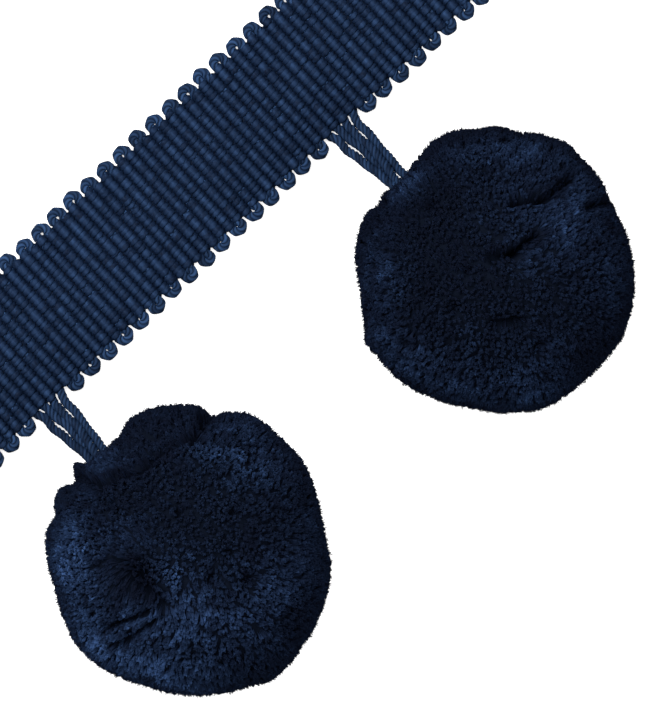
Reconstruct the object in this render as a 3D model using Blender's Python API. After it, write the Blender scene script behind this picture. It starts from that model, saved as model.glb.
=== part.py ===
"""A ball fringe lying on a surface: two repeats of a ribbed tape with looped edges, and from each
repeat a round ball of cut yarn that hangs on four strands of cord.

Metres, +Z up. The surface is z = 0. The tape runs along +X on the +Y side, and the balls lie
towards -Y. Distances along the tape are counted in ribs from its left end.
"""

import math
import random

import bmesh
import bpy
from mathutils import Matrix, Vector

MM = 0.001

# The tape: one thick cord goes back and forth across it and makes the ribs
RIBS = 72
RIB_PITCH = 1.575 * MM
TAPE_WIDTH = 17.4 * MM
TAPE_THICK = 1.9 * MM
TAPE_MIDDLE_Y = 24.0 * MM
RIB_VALLEY = 0.3 * MM
RIB_SHOULDER = 0.12 * MM
TAPE_MIDDLE_Z = TAPE_THICK / 2

# Places across one rib where the tape's surface has points, as shares of the pitch
RIB_STOPS = (0.0, 0.15, 0.5, 0.85)
LAST_STOP = len(RIB_STOPS) - 1

# The edge loops: the cord turns back round two ribs at a time
CORD = 1.2 * MM
LOOP_RIBS = 2
LOOP_REACH = 1.96 * MM
LOOP_RADIUS = 1.42 * MM
LOOP_UNEVEN = 0.1 * MM
UNEVEN_TURN = 2.4
LOOP_SHOULDER = 0.62
LOOP_DIMPLE = 0.2 * MM
LOOP_RIM = 0.6 * MM
CUT_END_SHARE = 0.4
EDGE_REACH = 0.15 * MM
EDGE_ROWS = 5

# The hangers: two long loops each, so four strands
STRANDS = 4
GAP = 0.3 * MM
NECK_RADIUS = 1.45 * MM
NECK_LENGTH = 2.6 * MM
NECK_SIDES = 10
STRAND_ROOT = 0.6 * MM
STRAND_STEPS = 8
STRAND_SAG = 0.5 * MM
CAP_WELD = 0.01 * MM
STRAND_PLACES = (
    {"strand": 0, "across": -1, "up": 1},
    {"strand": 1, "across": -1, "up": -1},
    {"strand": 2, "across": 1, "up": -1},
    {"strand": 3, "across": 1, "up": 1},
)

# The balls: a core with square locks of yarn that stand out from it
BALL_RADIUS = 20.1 * MM
BALL_HEIGHT = 18.8 * MM
CORE_RADIUS = 12.0 * MM
LOCKS_ACROSS = 5
CELLS_BELOW = 2
LOCK_GAP = 0.5 * MM
LOCK_JITTER = 0.13
LOCK_UNEVEN = 0.25 * MM
LOCK_CROWN = 0.5 * MM
BALLS = (
    {"name": "left", "rib": 18, "x": -28.3 * MM, "y": -13.6 * MM, "seed": 3},
    {"name": "right", "rib": 54, "x": 29.6 * MM, "y": -14.4 * MM, "seed": 8},
)

# How far each ball reaches in plan, in mm, by bearing in degrees from +X
BEARING_STEP = 30
OUTLINE = (
    {"bearing": 0, "left": 20.4, "right": 19.8},
    {"bearing": 30, "left": 20.5, "right": 20.2},
    {"bearing": 60, "left": 20.8, "right": 20.2},
    {"bearing": 90, "left": 20.0, "right": 19.3},
    {"bearing": 120, "left": 20.3, "right": 19.6},
    {"bearing": 150, "left": 20.0, "right": 19.6},
    {"bearing": 180, "left": 20.5, "right": 20.3},
    {"bearing": 210, "left": 20.1, "right": 19.8},
    {"bearing": 240, "left": 20.4, "right": 20.1},
    {"bearing": 270, "left": 21.0, "right": 20.0},
    {"bearing": 300, "left": 20.2, "right": 20.0},
    {"bearing": 330, "left": 19.4, "right": 19.4},
)

# The finishes: the tape and its cord have a slight sheen, and the cut yarn is matt and darker
FINISHES = {
    "tape": {"colour": (0.010, 0.022, 0.056, 1.0), "roughness": 0.70},
    "cord": {"colour": (0.011, 0.024, 0.060, 1.0), "roughness": 0.65},
    "yarn": {"colour": (0.008, 0.017, 0.045, 1.0), "roughness": 0.90},
}


def clear_scene():
    for thing in list(bpy.data.objects):
        bpy.data.objects.remove(thing)


def make_collection():
    collection = bpy.data.collections.new("ball_fringe")
    bpy.context.scene.collection.children.link(collection)
    return collection


def make_material(name, finish):
    material = bpy.data.materials.new(name)
    material.use_nodes = True
    shader = material.node_tree.nodes["Principled BSDF"]
    shader.inputs["Base Color"].default_value = finish["colour"]
    shader.inputs["Roughness"].default_value = finish["roughness"]
    shader.inputs["Metallic"].default_value = 0.0
    return material


def add_object(collection, name, bm, finish):
    """Makes a named object of a bmesh, with its faces turned outwards and its own material."""
    bmesh.ops.recalc_face_normals(bm, faces=bm.faces[:])
    mesh = bpy.data.meshes.new(name)
    bm.to_mesh(mesh)
    bm.free()
    mesh.materials.append(make_material(name, FINISHES[finish]))
    piece = bpy.data.objects.new(name, mesh)
    collection.objects.link(piece)
    return piece


def rib_x(rib):
    """The place along the tape of a count of ribs from its left end."""
    return (rib - RIBS / 2) * RIB_PITCH


def loop_centre(rib, upper_edge):
    """The middle of the edge loop at this place: even counts above and odd ones below."""
    if upper_edge:
        return LOOP_RIBS * round(rib / LOOP_RIBS)
    return LOOP_RIBS * math.floor(rib / LOOP_RIBS) + 1


def edge_reach(rib, upper_edge):
    """How far the tape's outline stands out past the woven edge, in the shape of round loops."""
    centre = loop_centre(rib, upper_edge)
    away = abs(rib - centre) * RIB_PITCH
    long_loop = not upper_edge and any(abs(centre - ball["rib"]) == 1 for ball in BALLS)
    if long_loop or away >= LOOP_RADIUS:
        return EDGE_REACH
    reach = LOOP_REACH - LOOP_RADIUS + math.sqrt(LOOP_RADIUS**2 - away**2)
    if centre in (0, RIBS):
        return CUT_END_SHARE * reach
    return reach + LOOP_UNEVEN * math.sin(UNEVEN_TURN * centre)


def tape_point(column, row, upper_side):
    """A point of the tape: rows run from the upper edge's loops to the lower edge's."""
    stop = column % len(RIB_STOPS)
    rib = column // len(RIB_STOPS) + RIB_STOPS[stop]
    upper_edge = row < EDGE_ROWS / 2
    step_in = row if upper_edge else EDGE_ROWS - row
    out = edge_reach(rib, upper_edge) * (1.0, LOOP_SHOULDER, 0.0)[step_in]
    side = 1 if upper_edge else -1
    if step_in == 0:
        half = LOOP_RIM / 2
    elif step_in == 1:
        half = CORD / 2 - (LOOP_DIMPLE if stop == 0 else 0.0)
    elif stop == 0:
        half = TAPE_THICK / 2 - RIB_VALLEY
    elif upper_side and stop in (1, LAST_STOP):
        half = TAPE_THICK / 2 - RIB_SHOULDER
    else:
        half = TAPE_THICK / 2
    y = TAPE_MIDDLE_Y + side * (TAPE_WIDTH / 2 + out)
    return Vector((rib_x(rib), y, TAPE_MIDDLE_Z + (half if upper_side else -half)))


def make_heading(collection):
    """The ribbed tape with its looped edges: a thick sheet whose points are set rib by rib."""
    columns = RIBS * len(RIB_STOPS)
    bm = bmesh.new()
    bmesh.ops.create_grid(bm, x_segments=columns, y_segments=EDGE_ROWS, size=0.5)
    lower = bm.verts[:]
    raised = bmesh.ops.extrude_face_region(bm, geom=bm.faces[:])["geom"]
    upper = [item for item in raised if isinstance(item, bmesh.types.BMVert)]
    for verts, upper_side in ((lower, False), (upper, True)):
        for vert in verts:
            column = round((vert.co.x + 0.5) * columns)
            row = round((0.5 - vert.co.y) * EDGE_ROWS)
            vert.co = tape_point(column, row, upper_side)
    return add_object(collection, "heading", bm, "tape")


def ball_centre(ball):
    return Vector((ball["x"], ball["y"], BALL_HEIGHT))


def hanger_root(ball):
    """The middle of the place on the tape's edge that a ball hangs from."""
    edge_y = TAPE_MIDDLE_Y - TAPE_WIDTH / 2 - EDGE_REACH
    return Vector((rib_x(ball["rib"]), edge_y - GAP, TAPE_MIDDLE_Z))


def hanger_axes(ball):
    """Unit vectors from the ball's centre to its hanger's root, across the strands, and up."""
    along = (hanger_root(ball) - ball_centre(ball)).normalized()
    across = along.cross(Vector((0, 0, 1))).normalized()
    return along, across, across.cross(along)


def strand_points(ball, place):
    """A strand runs from its own rib to its own corner of the neck, and sags a little."""
    along, across, up = hanger_axes(ball)
    shift = (place["strand"] - (STRANDS - 1) / 2) * RIB_PITCH
    start = hanger_root(ball) + Vector((shift, 0, 0))
    corner = CORD / 2 * (place["across"] * across + place["up"] * up)
    end = ball_centre(ball) + (CORE_RADIUS + GAP + STRAND_ROOT) * along + corner
    points = []
    for step in range(STRAND_STEPS + 1):
        share = step / STRAND_STEPS
        sag = STRAND_SAG * math.sin(math.pi * share)
        points.append(start.lerp(end, share) - sag * up)
    return points


def strand_mesh(name, points):
    """A four-sided cord along the points, with closed ends, as a mesh object."""
    curve = bpy.data.curves.new(name, "CURVE")
    curve.dimensions = "3D"
    curve.bevel_depth = CORD / 2
    curve.bevel_resolution = 0
    curve.use_fill_caps = True
    spline = curve.splines.new("POLY")
    spline.points.add(len(points) - 1)
    for spot, point in zip(spline.points, points, strict=True):
        spot.co = (*point, 1.0)
    guide = bpy.data.objects.new(name, curve)
    bpy.context.scene.collection.objects.link(guide)
    shown = guide.evaluated_get(bpy.context.evaluated_depsgraph_get())
    mesh = bpy.data.meshes.new_from_object(shown)
    bpy.data.objects.remove(guide)
    bm = bmesh.new()
    bm.from_mesh(mesh)
    bmesh.ops.remove_doubles(bm, verts=bm.verts[:], dist=CAP_WELD)
    bmesh.ops.recalc_face_normals(bm, faces=bm.faces[:])
    bm.to_mesh(mesh)
    bm.free()
    return mesh


def make_hanger(collection, cutters, ball):
    """Four strands that a short round neck holds together at the ball."""
    name = f"hanger_{ball['name']}"
    along, across, up = hanger_axes(ball)
    middle = ball_centre(ball) + (CORE_RADIUS + GAP + NECK_LENGTH / 2) * along
    turn = Matrix((across, up, -along)).transposed().to_4x4()
    bm = bmesh.new()
    bmesh.ops.create_cone(
        bm, cap_ends=True, segments=NECK_SIDES, radius1=NECK_RADIUS, radius2=NECK_RADIUS,
        depth=NECK_LENGTH, matrix=Matrix.Translation(middle) @ turn,
    )
    hanger = add_object(collection, name, bm, "cord")
    for place in STRAND_PLACES:
        strand_name = f"{name}_strand_{place['strand']}"
        mesh = strand_mesh(strand_name, strand_points(ball, place))
        strand = bpy.data.objects.new(strand_name, mesh)
        cutters.objects.link(strand)
        strand.hide_render = True
        strand.display_type = "WIRE"
        union = hanger.modifiers.new(strand_name, "BOOLEAN")
        union.operation = "UNION"
        union.solver = "EXACT"
        union.object = strand
    return hanger


def plan_reach(ball, bearing):
    """The ball's reach at a bearing in plan, smoothed between the outline's rows."""
    place = math.degrees(bearing) % 360 / BEARING_STEP
    row = int(place) % len(OUTLINE)
    share = (1 - math.cos(math.pi * (place - int(place)))) / 2
    here, there = OUTLINE[row], OUTLINE[(row + 1) % len(OUTLINE)]
    return (here[ball["name"]] * (1 - share) + there[ball["name"]] * share) * MM


def lock_tip(ball, place, extra):
    """The point where yarn that leaves the core at a place ends, level where it meets the surface."""
    direction = place.normalized()
    level = direction.x**2 + direction.y**2
    bearing = math.atan2(direction.y, direction.x)
    reach = BALL_RADIUS + (plan_reach(ball, bearing) - BALL_RADIUS) * level + extra
    if direction.z < 0:
        reach = min(reach, BALL_HEIGHT / -direction.z)
    return direction * reach


def make_ball(collection, ball):
    """A core whose square cells each grow a lock of yarn, but for the one that faces the hanger."""
    dice = random.Random(ball["seed"])
    along = hanger_axes(ball)[0]
    bm = bmesh.new()
    bmesh.ops.create_cube(bm, size=2.0)
    bmesh.ops.subdivide_edges(
        bm, edges=bm.edges[:], cuts=LOCKS_ACROSS - 1, use_grid_fill=True
    )
    # The cell that lies two cells below +Y turns to face the hanger
    cell_angle = math.pi / 2 / LOCKS_ACROSS
    dip = CELLS_BELOW * cell_angle
    facing = Vector((0, math.cos(dip), -math.sin(dip)))
    turn = facing.rotation_difference(along)
    for vert in bm.verts:
        even = Vector([math.tan(value * math.pi / 4) for value in vert.co])
        vert.co = turn @ even.normalized()
    bare = max(bm.faces, key=lambda face: face.calc_center_median().dot(along))
    for vert in bm.verts:
        if bare not in vert.link_faces:
            push = Vector([dice.uniform(-1, 1) for _ in range(3)])
            vert.co += push * LOCK_JITTER * cell_angle
        vert.co = vert.co.normalized() * CORE_RADIUS
    cells = bm.faces[:]
    bmesh.ops.inset_individual(bm, faces=cells, thickness=LOCK_GAP / 2, use_even_offset=True)
    growing = [cell for cell in cells if cell is not bare]
    locks = bmesh.ops.extrude_discrete_faces(bm, faces=growing)["faces"]
    for lock in locks:
        uneven = dice.uniform(-LOCK_UNEVEN, LOCK_UNEVEN)
        for vert in lock.verts:
            vert.co = lock_tip(ball, vert.co, uneven - LOCK_CROWN / 2)
        crown = bmesh.ops.poke(bm, faces=[lock])["verts"][0]
        crown.co = lock_tip(ball, crown.co, uneven + LOCK_CROWN / 2)
    bmesh.ops.translate(bm, verts=bm.verts[:], vec=ball_centre(ball))
    return add_object(collection, f"ball_{ball['name']}", bm, "yarn")


def main():
    clear_scene()
    collection = make_collection()
    cutters = bpy.data.collections.new("cutters")
    bpy.context.scene.collection.children.link(cutters)
    make_heading(collection)
    for ball in BALLS:
        make_hanger(collection, cutters, ball)
        make_ball(collection, ball)


main()
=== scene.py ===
# %% [markdown]
# # A ball fringe, thread by thread
#
# A ball fringe is an edging that is sewn to a cushion or a curtain. A ribbed tape is woven over
# one thick cord, the same cord makes a row of small loops along both of its edges, and every now
# and then it runs out in long loops that carry a round ball of cut yarn. The solids of the frame
# have those forms in the large. This script lays the threads themselves over them: the warp of
# the tape, the plies of the cord and the cut ends of the yarn.

# %% Load the frame
import math

import bpy
import numpy as np
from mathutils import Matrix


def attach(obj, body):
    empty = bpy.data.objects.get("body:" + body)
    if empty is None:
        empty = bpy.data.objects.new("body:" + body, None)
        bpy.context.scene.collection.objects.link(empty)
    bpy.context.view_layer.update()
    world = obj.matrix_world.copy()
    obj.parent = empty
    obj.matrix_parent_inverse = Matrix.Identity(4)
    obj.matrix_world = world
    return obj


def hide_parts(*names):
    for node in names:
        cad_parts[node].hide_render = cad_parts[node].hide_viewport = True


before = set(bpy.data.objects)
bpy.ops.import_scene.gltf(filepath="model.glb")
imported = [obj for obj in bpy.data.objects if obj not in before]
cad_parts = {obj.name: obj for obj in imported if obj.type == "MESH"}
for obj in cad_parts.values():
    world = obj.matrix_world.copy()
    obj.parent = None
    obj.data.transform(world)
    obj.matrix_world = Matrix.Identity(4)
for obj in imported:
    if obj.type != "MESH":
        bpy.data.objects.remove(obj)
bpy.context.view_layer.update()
scene = bpy.context.scene
MM = 0.001
print("the frame's nodes:", sorted(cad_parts))

# %% [markdown]
# ## The camera
#
# The photograph looks straight down on the fringe, which lies turned in the picture: its length
# rises to the right. Such a view is settled by its turn, the size of a pixel and the point in the
# picture's middle. A normal lens close by would show the balls, which stand high, larger than the
# tape. A long lens far away shows both at one scale, as the photograph does. Blender lays the
# sensor along the picture's longer side, so that side gives the camera's distance.

# %% Camera
PHOTO_SIZE = (650, 722)
PIXEL = 0.14
TURN = math.radians(43.6)
VIEW_MIDDLE = (3.82, -7.37)
SCALE_HEIGHT = 10.0
SENSOR = 36.0
LENS = 1000.0

camera_data = bpy.data.cameras.new("camera")
camera_data.sensor_width = SENSOR
camera_data.lens = LENS
camera = bpy.data.objects.new("camera", camera_data)
scene.collection.objects.link(camera)
distance = LENS * max(PHOTO_SIZE) * PIXEL / SENSOR
camera.location = (VIEW_MIDDLE[0] * MM, VIEW_MIDDLE[1] * MM, (SCALE_HEIGHT + distance) * MM)
camera.rotation_euler = (0, 0, -TURN)
scene.camera = camera
PICTURE_RIGHT = np.array((math.cos(TURN), -math.sin(TURN), 0.0))
PICTURE_UP = np.array((math.sin(TURN), math.cos(TURN), 0.0))
print(f"the camera is {distance:.0f} mm away")

# %% [markdown]
# ## Light and floor
#
# Dark yarn is lit by wide soft lamps over white, so that light reaches between the threads and
# the shadows nearly vanish. Here a white sky does most of it. An even sky would flatten every
# thread, so this one is brightest overhead and falls off towards the horizon. Two large lamps
# sharpen the threads' lit sides. A white floor glows by itself. It is kept from lighting the yarn
# from below, which would grey the balls' lower rims. The plain Standard view keeps navy as it is
# mixed, where a film-like view would grey it.

# %% Sky
scene.view_settings.view_transform = "Standard"

SKY_WAY = -0.25 * PICTURE_RIGHT + 0.2 * PICTURE_UP + np.array((0.0, 0.0, 0.95))
SKY_DARK, SKY_BRIGHT, SKY_SEEN = 0.2, 1.15, 1.0
world = bpy.data.worlds.new("studio")
world.use_nodes = True
sky_tree = world.node_tree
sky_node, sky_link = sky_tree.nodes.new, sky_tree.links.new
sky = sky_tree.nodes["Background"]
sky.inputs["Color"].default_value = (1.0, 1.0, 1.0, 1.0)
looking = sky_node("ShaderNodeTexCoord")
towards = sky_node("ShaderNodeVectorMath")
towards.operation = "DOT_PRODUCT"
towards.inputs[1].default_value = SKY_WAY / np.linalg.norm(SKY_WAY)
fall = sky_node("ShaderNodeMapRange")
fall.inputs["From Min"].default_value = 0.0
fall.inputs["To Min"].default_value = SKY_DARK
fall.inputs["To Max"].default_value = SKY_BRIGHT
ray = sky_node("ShaderNodeLightPath")
backdrop = sky_node("ShaderNodeMix")
backdrop.inputs["B"].default_value = SKY_SEEN
sky_link(looking.outputs["Generated"], towards.inputs[0])
sky_link(towards.outputs["Value"], fall.inputs["Value"])
sky_link(ray.outputs["Is Camera Ray"], backdrop.inputs["Factor"])
sky_link(fall.outputs["Result"], backdrop.inputs["A"])
sky_link(backdrop.outputs["Result"], sky.inputs["Strength"])
scene.world = world
print("the sky is brightest towards", np.round(towards.inputs[1].default_value[:], 2))

# %% Lamps and floor
LAMPS = (
    {"name": "lamp_upper_left", "right": -300, "up": 320, "high": 760, "size": 420, "watts": 5.0},
    {"name": "lamp_lower_right", "right": 460, "up": -300, "high": 560, "size": 520, "watts": 1.5},
)
for lamp in LAMPS:
    light = bpy.data.lights.new(lamp["name"], "AREA")
    light.shape = "DISK"
    light.size = lamp["size"] * MM
    light.energy = lamp["watts"]
    holder = bpy.data.objects.new(lamp["name"], light)
    scene.collection.objects.link(holder)
    place = lamp["right"] * PICTURE_RIGHT + lamp["up"] * PICTURE_UP + np.array((0, 0, lamp["high"]))
    holder.location = place * MM
    aim = camera.location.copy()
    aim.z = 0.0
    holder.rotation_euler = (aim - holder.location).to_track_quat("-Z", "Y").to_euler()

FLOOR_REACH = 4000.0
FLOOR_DROP = 0.05
FLOOR_GLOW = 0.75
floor_corners = [(x * FLOOR_REACH, y * FLOOR_REACH) for x, y in ((-1, -1), (1, -1), (1, 1), (-1, 1))]
floor_mesh = bpy.data.meshes.new("floor")
floor_mesh.from_pydata([(x * MM, y * MM, -FLOOR_DROP * MM) for x, y in floor_corners], [], [(0, 1, 2, 3)])
floor_paint = bpy.data.materials.new("floor_paint")
floor_paint.use_nodes = True
floor_shader = floor_paint.node_tree.nodes["Principled BSDF"]
floor_shader.inputs["Base Color"].default_value = (0.9, 0.9, 0.9, 1.0)
floor_shader.inputs["Roughness"].default_value = 0.9
floor_shader.inputs["Emission Color"].default_value = (1.0, 1.0, 1.0, 1.0)
floor_shader.inputs["Emission Strength"].default_value = FLOOR_GLOW
floor_mesh.materials.append(floor_paint)
floor = bpy.data.objects.new("floor", floor_mesh)
floor.visible_diffuse = False
floor.visible_glossy = False
scene.collection.objects.link(floor)
print("lamps:", [lamp["name"] for lamp in LAMPS])

# %% [markdown]
# ## From arrays to meshes
#
# Everything here is thread, and there are thousands of each kind, so no thread is modelled by
# itself. Each kind is worked out as one array of points in millimetres. The rings of points
# along a tube make its faces by counting, so a helper writes the faces of all tubes at once.
# A map, "thread", runs round each tube and along it, for patterns that follow the fibre, and
# the attribute "tone" tells the material how light each thread is.


# %% Mesh helpers
def add_piece(name, points, corners, sizes, smooth, along, tone, material):
    """A mesh object of arrays: points in millimetres, the corners of its faces in one row, and
    how many corners each face has. along is the map's pair of numbers for each corner."""
    mesh = bpy.data.meshes.new(name)
    mesh.vertices.add(len(points))
    mesh.vertices.foreach_set("co", (points * MM).astype(np.float32).ravel())
    mesh.loops.add(len(corners))
    mesh.loops.foreach_set("vertex_index", corners.astype(np.int32))
    mesh.polygons.add(len(sizes))
    mesh.polygons.foreach_set("loop_start", (np.cumsum(sizes) - sizes).astype(np.int32))
    mesh.polygons.foreach_set("use_smooth", smooth)
    mesh.update(calc_edges=True)
    mesh.uv_layers.new(name="thread").data.foreach_set("uv", along.astype(np.float32).ravel())
    shades = mesh.attributes.new("tone", "FLOAT", "POINT").data
    shades.foreach_set("value", tone.astype(np.float32).ravel())
    mesh.materials.append(material)
    piece = bpy.data.objects.new(name, mesh)
    scene.collection.objects.link(piece)
    triangles = int((np.asarray(sizes) - 2).sum())
    print(f"{name}: {len(points)} points, {triangles} triangles")
    return piece


def add_tubes(name, points, lengths, tone, material):
    """Closed tubes of an array of points by tube, ring, side and axis. Point (r, s) is joined to
    its neighbours r + 1 and s + 1, and each end ring is filled by one face. lengths is how far
    along its tube each ring lies, by tube and ring, and tone is by tube, ring and side, or by
    fewer where it is the same round the tube or all along it."""
    tubes, rings, sides, _ = points.shape
    first = np.arange(tubes)[:, None, None] * rings * sides
    ring = np.arange(rings - 1)[None, :, None] * sides
    side = np.arange(sides)[None, None, :]
    after = (side + 1) % sides
    here, there = first + ring, first + ring + sides
    quads = np.stack((here + side, here + after, there + after, there + side), axis=-1).reshape(-1, 4)
    starts = first[:, 0] + np.arange(sides)[::-1]
    ends = first[:, 0] + (rings - 1) * sides + np.arange(sides)
    corners = np.concatenate((quads.ravel(), starts.ravel(), ends.ravel()))
    sizes = np.concatenate((np.full(len(quads), 4), np.full(2 * tubes, sides)))
    smooth = np.arange(len(sizes)) < len(quads)
    turn = np.broadcast_to(side / sides, (tubes, rings - 1, sides))
    low = np.broadcast_to(lengths[:, :-1, None], turn.shape)
    high = np.broadcast_to(lengths[:, 1:, None], turn.shape)
    step = 1 / sides
    around = np.stack((turn, turn + step, turn + step, turn), axis=-1)
    forward = np.stack((low, low, high, high), axis=-1)
    side_map = np.stack((around, forward), axis=-1).reshape(-1, 2)
    cap_map = np.zeros((2 * tubes * sides, 2))
    along = np.concatenate((side_map, cap_map))
    shade = np.broadcast_to(tone, points.shape[:3])
    return add_piece(name, points.reshape(-1, 3), corners, sizes, smooth, along, shade, material)


# %% Directions, and how a piece is dressed
def unit(vectors):
    """The same directions, each one unit long."""
    return vectors / np.linalg.norm(vectors, axis=-1, keepdims=True)


def frames_along(paths):
    """Directions along, beside and above each point of the paths. The one above is +Z made
    square to the path, and beside cross above is along."""
    along = unit(np.gradient(paths, axis=-2))
    up = np.zeros_like(along)
    up[..., 2] = 1.0
    above = unit(up - (up * along).sum(-1, keepdims=True) * along)
    return along, np.cross(above, along), above


def turned(angle, beside, above):
    """The direction at an angle from beside to above: cos angle beside + sin angle above."""
    return np.cos(angle)[..., None] * beside + np.sin(angle)[..., None] * above


def dress(piece, slot, *nodes):
    """The piece moves with the one body and stands for nodes. slot is not used."""
    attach(piece, "root")
    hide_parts(*nodes)
    return piece


# %% [markdown]
# ## The finishes
#
# All of it is dyed navy, in three kinds. The warp is smooth spun thread and has a slight sheen.
# The cord is the same thread in four plies. The cut yarn of the balls drinks the light. A fourth
# finish, nearly black, is painted shade for the yarn deep in a ball. A thread's look comes from
# its fibres: fine streaks along it, lighter on some threads than on others, and small ridges that
# a raking light finds. So one recipe mixes two navies by the thread's tone and by noise that is
# drawn out along the thread, and bends the surface by the same noise. The thread's tone also
# carries painted shade and painted light where the sections below say so. Each kind then has its
# own pair of colours and its own scale.

# %% Thread material
NOISE_MIDDLE = (0.3, 0.7)
NOISE_DETAIL = 3.0
ROUGHNESS_SPREAD = 0.12
RIDGE_STRENGTH = 0.6
SHEEN_ROUGHNESS = 0.4
SHEEN_TINT = (0.15, 0.3, 0.8, 1.0)


def thread_material(name, dark, light, streaks, roughness, gloss, sheen, tone_share, ridge):
    """Colour = dark to light by tone_share of the thread's tone and the rest of the streaks.
    streaks is how many streaks lie round the thread and how many for each step along its map.
    Noise seldom leaves its middle numbers, so these are spread out over 0 to 1."""
    material = bpy.data.materials.new(name)
    material.use_nodes = True
    tree = material.node_tree
    node, link = tree.nodes.new, tree.links.new
    shader = tree.nodes["Principled BSDF"]
    fibre_map = node("ShaderNodeUVMap")
    fibre_map.uv_map = "thread"
    stretch = node("ShaderNodeMapping")
    stretch.inputs["Scale"].default_value = (streaks[0], streaks[1], 1.0)
    link(fibre_map.outputs["UV"], stretch.inputs["Vector"])
    noise = node("ShaderNodeTexNoise")
    noise.inputs["Scale"].default_value = 1.0
    noise.inputs["Detail"].default_value = NOISE_DETAIL
    link(stretch.outputs["Vector"], noise.inputs["Vector"])
    streak = node("ShaderNodeMapRange")
    streak.inputs["From Min"].default_value, streak.inputs["From Max"].default_value = NOISE_MIDDLE
    link(noise.outputs["Fac"], streak.inputs["Value"])
    tone = node("ShaderNodeAttribute")
    tone.attribute_name = "tone"
    share = node("ShaderNodeMix")
    share.data_type = "FLOAT"
    share.inputs["Factor"].default_value = tone_share
    link(streak.outputs["Result"], share.inputs["A"])
    link(tone.outputs["Fac"], share.inputs["B"])
    colours = node("ShaderNodeMix")
    colours.data_type = "RGBA"
    colours.inputs["A"].default_value = (*dark, 1.0)
    colours.inputs["B"].default_value = (*light, 1.0)
    link(share.outputs["Result"], colours.inputs["Factor"])
    link(colours.outputs["Result"], shader.inputs["Base Color"])
    dull = node("ShaderNodeMapRange")
    dull.inputs["To Min"].default_value = roughness + ROUGHNESS_SPREAD
    dull.inputs["To Max"].default_value = roughness - ROUGHNESS_SPREAD
    link(noise.outputs["Fac"], dull.inputs["Value"])
    link(dull.outputs["Result"], shader.inputs["Roughness"])
    bump = node("ShaderNodeBump")
    bump.inputs["Strength"].default_value = RIDGE_STRENGTH
    bump.inputs["Distance"].default_value = ridge * MM
    link(noise.outputs["Fac"], bump.inputs["Height"])
    link(bump.outputs["Normal"], shader.inputs["Normal"])
    shader.inputs["Specular IOR Level"].default_value = gloss
    shader.inputs["Sheen Weight"].default_value = sheen
    shader.inputs["Sheen Roughness"].default_value = SHEEN_ROUGHNESS
    shader.inputs["Sheen Tint"].default_value = SHEEN_TINT
    return material


# %% Four finishes
warp_finish = thread_material(
    "tape_warp", dark=(0.001, 0.003, 0.011), light=(0.021, 0.050, 0.124),
    streaks=(5.0, 2.5), roughness=0.6, gloss=0.06, sheen=0.03, tone_share=0.72, ridge=0.06,
)
cord_finish = thread_material(
    "plied_cord", dark=(0.0008, 0.0014, 0.005), light=(0.031, 0.073, 0.176),
    streaks=(2.5, 1.4), roughness=0.62, gloss=0.05, sheen=0.02, tone_share=0.8, ridge=0.06,
)
yarn_finish = thread_material(
    "cut_yarn", dark=(0.0032, 0.0034, 0.0065), light=(0.043, 0.091, 0.225),
    streaks=(2.0, 2.0), roughness=0.8, gloss=0.0, sheen=0.08, tone_share=0.95, ridge=0.02,
)
# The pressed yarn's near-black colour is painted shade for the yarn deep in a ball.
painted_shade_finish = thread_material(
    "deep_yarn_painted_shade", dark=(0.0008, 0.0013, 0.0028), light=(0.0048, 0.0074, 0.0152),
    streaks=(9.0, 1.5), roughness=0.85, gloss=0.0, sheen=0.0, tone_share=0.9, ridge=0.1,
)
print("materials:", [m.name for m in bpy.data.materials])

# %% [markdown]
# ## The tape: its ground
#
# The tape is a plain weave whose weft is a cord as thick as a shoelace, so each pass of the cord
# makes one rib. What shows is the warp alone. Under it lies the body of the weave, which keeps
# the light from coming through. It is a sheet whose two faces rise and fall with the ribs,
# a cosine for each rib, and it lies inside the threads.

# %% Ground sheet
RIBS = 72
RIB_PITCH = 1.575
TAPE_WIDTH = 17.4
TAPE_THICK = 1.9
TAPE_MIDDLE_Y = 24.0
TAPE_MIDDLE_Z = TAPE_THICK / 2
TAPE_LENGTH = RIBS * RIB_PITCH
TAPE_LEFT = -TAPE_LENGTH / 2
GROUND_THIN, GROUND_SWELL = 0.2, 0.25
GROUND_STEPS = 6
GROUND_INSET = 0.06


def ground_points():
    """Rings round the sheet's section, one every sixth of a rib. At a place x the half thickness
    is thin + swell (1 - cos(2 pi x / pitch)) / 2, which is most in the middle of a rib."""
    ribs = np.linspace(0, RIBS, RIBS * GROUND_STEPS + 1)
    half = GROUND_THIN + GROUND_SWELL * (1 - np.cos(2 * np.pi * ribs)) / 2
    x = TAPE_LEFT + GROUND_INSET + ribs * (RIB_PITCH - 2 * GROUND_INSET / RIBS)
    wide = TAPE_WIDTH / 2 - GROUND_INSET
    y = np.array((1, 0, -1, -1, 0, 1)) * wide
    z = np.array((1, 1, 1, -1, -1, -1))
    points = np.empty((1, len(ribs), len(y), 3))
    points[..., 0] = x[None, :, None]
    points[..., 1] = TAPE_MIDDLE_Y + y
    points[..., 2] = TAPE_MIDDLE_Z + half[None, :, None] * z
    return points[:, :, ::-1]


ground_rings = ground_points()
ground_lengths = ground_rings[:, :, 0, 0]
# Tone 0 gives the sheet the warp's darkest navy: a real body of the weave, whose darkness is painted
# shade for the gaps between the warp threads.
ground = add_tubes("tape_ground", ground_rings, ground_lengths, np.zeros(1), warp_finish)
dress(ground, "tape", "heading")

# %% [markdown]
# ## The tape: its warp
#
# Each warp end goes over one rib and under the next, and its neighbours do the opposite, so a rib
# shows every second end as a short bright float and the next rib shows the others, half a step
# along. Round a thick cord the thread bends in half circles, and between two ribs it drops
# straight down. So its path is a chain of half ellipses, over and under by turns. It spreads
# where it lies on top of the cord and is squeezed thin where all ends pass between two ribs.
# Real thread is never even, so each float has its own width, height and place, and its own tone.

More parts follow.
